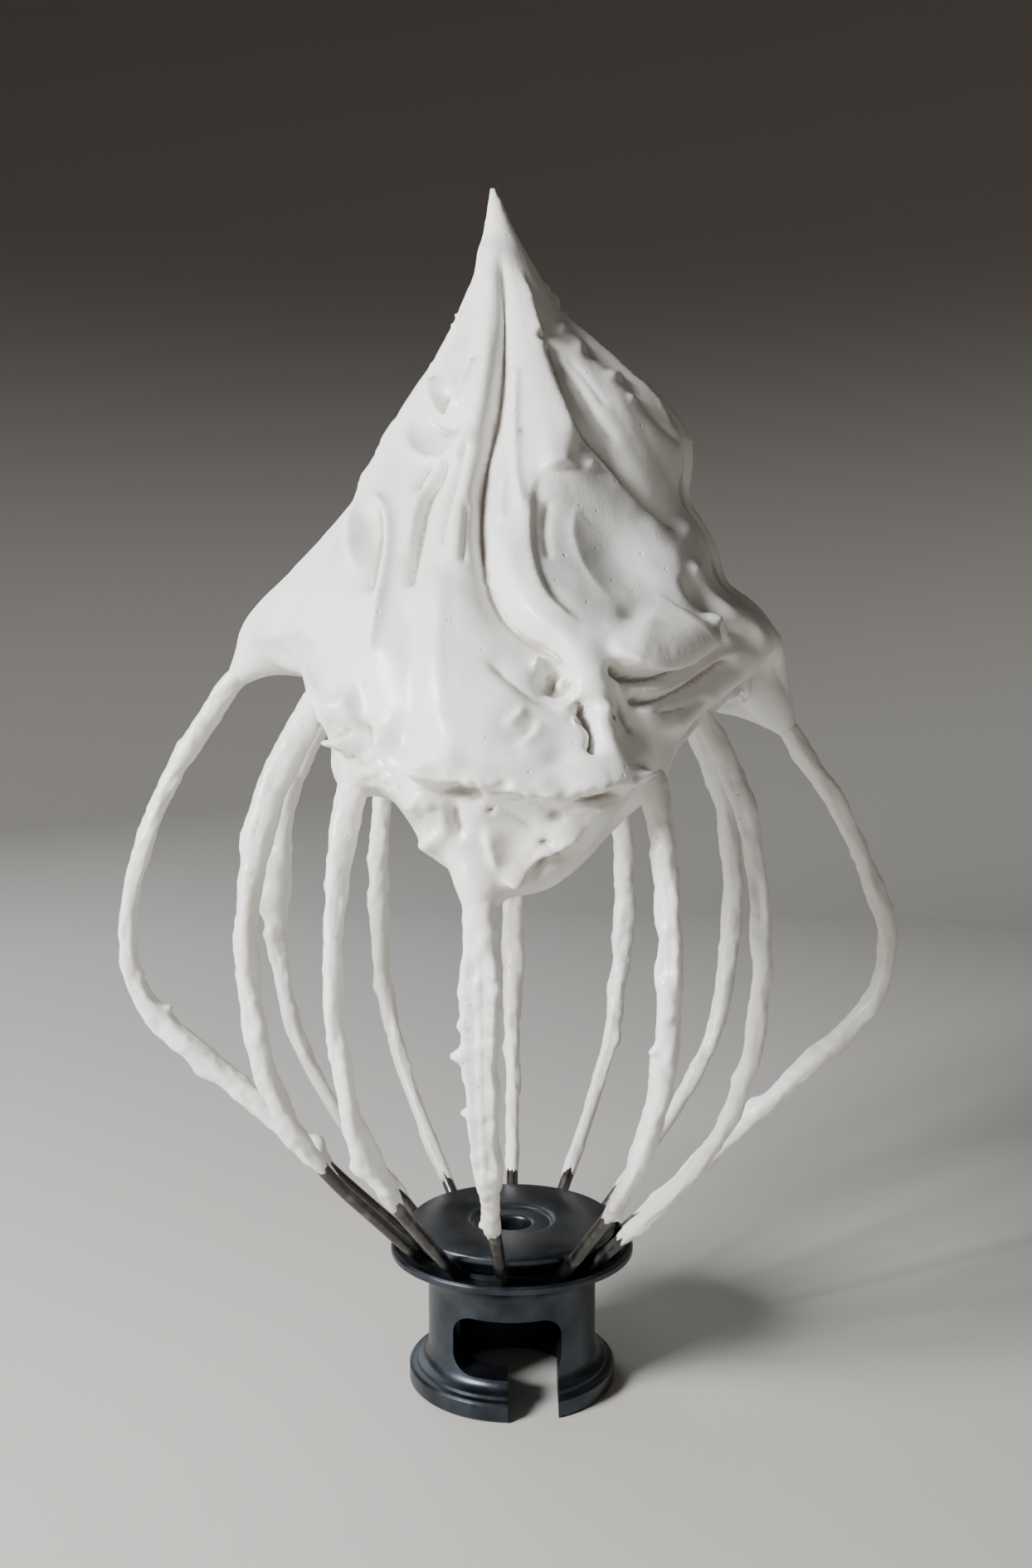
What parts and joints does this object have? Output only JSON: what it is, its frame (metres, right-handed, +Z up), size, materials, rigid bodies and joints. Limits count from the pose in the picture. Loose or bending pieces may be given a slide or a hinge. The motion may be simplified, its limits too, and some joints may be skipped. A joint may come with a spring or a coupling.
{
  "type": "mixer whisk with whipped meringue",
  "caption": "Stand mixer wire whisk standing on its metal hub, its bowed wire loops crowned by whipped meringue pulled to a peak.",
  "frame": {"origin": "centre of the hub's foot ring, on the surface it stands on", "axes": "+Z up along the whisk's axis to the meringue's peak, -Y towards the side with the bayonet window, +X towards one leg of the wide wire loop"},
  "size_m": [0.1052, 0.0816, 0.1608],
  "materials": {
    "cast_metal": "satin",
    "wire_steel": "satin",
    "whipped_white": "satin"
  },
  "bodies": {
    "root": {"hub": "cast_metal", "cap": "cast_metal", "meringue": "whipped_white", "wire_01": "wire_steel", "wire_02": "wire_steel", "wire_03": "wire_steel", "wire_04": "wire_steel", "wire_05": "wire_steel", "wire_06": "wire_steel", "wire_07": "wire_steel", "wire_08": "wire_steel", "wire_09": "wire_steel", "wire_10": "wire_steel", "wire_11": "wire_steel", "wire_12": "wire_steel"}
  },
  "joints": []
}
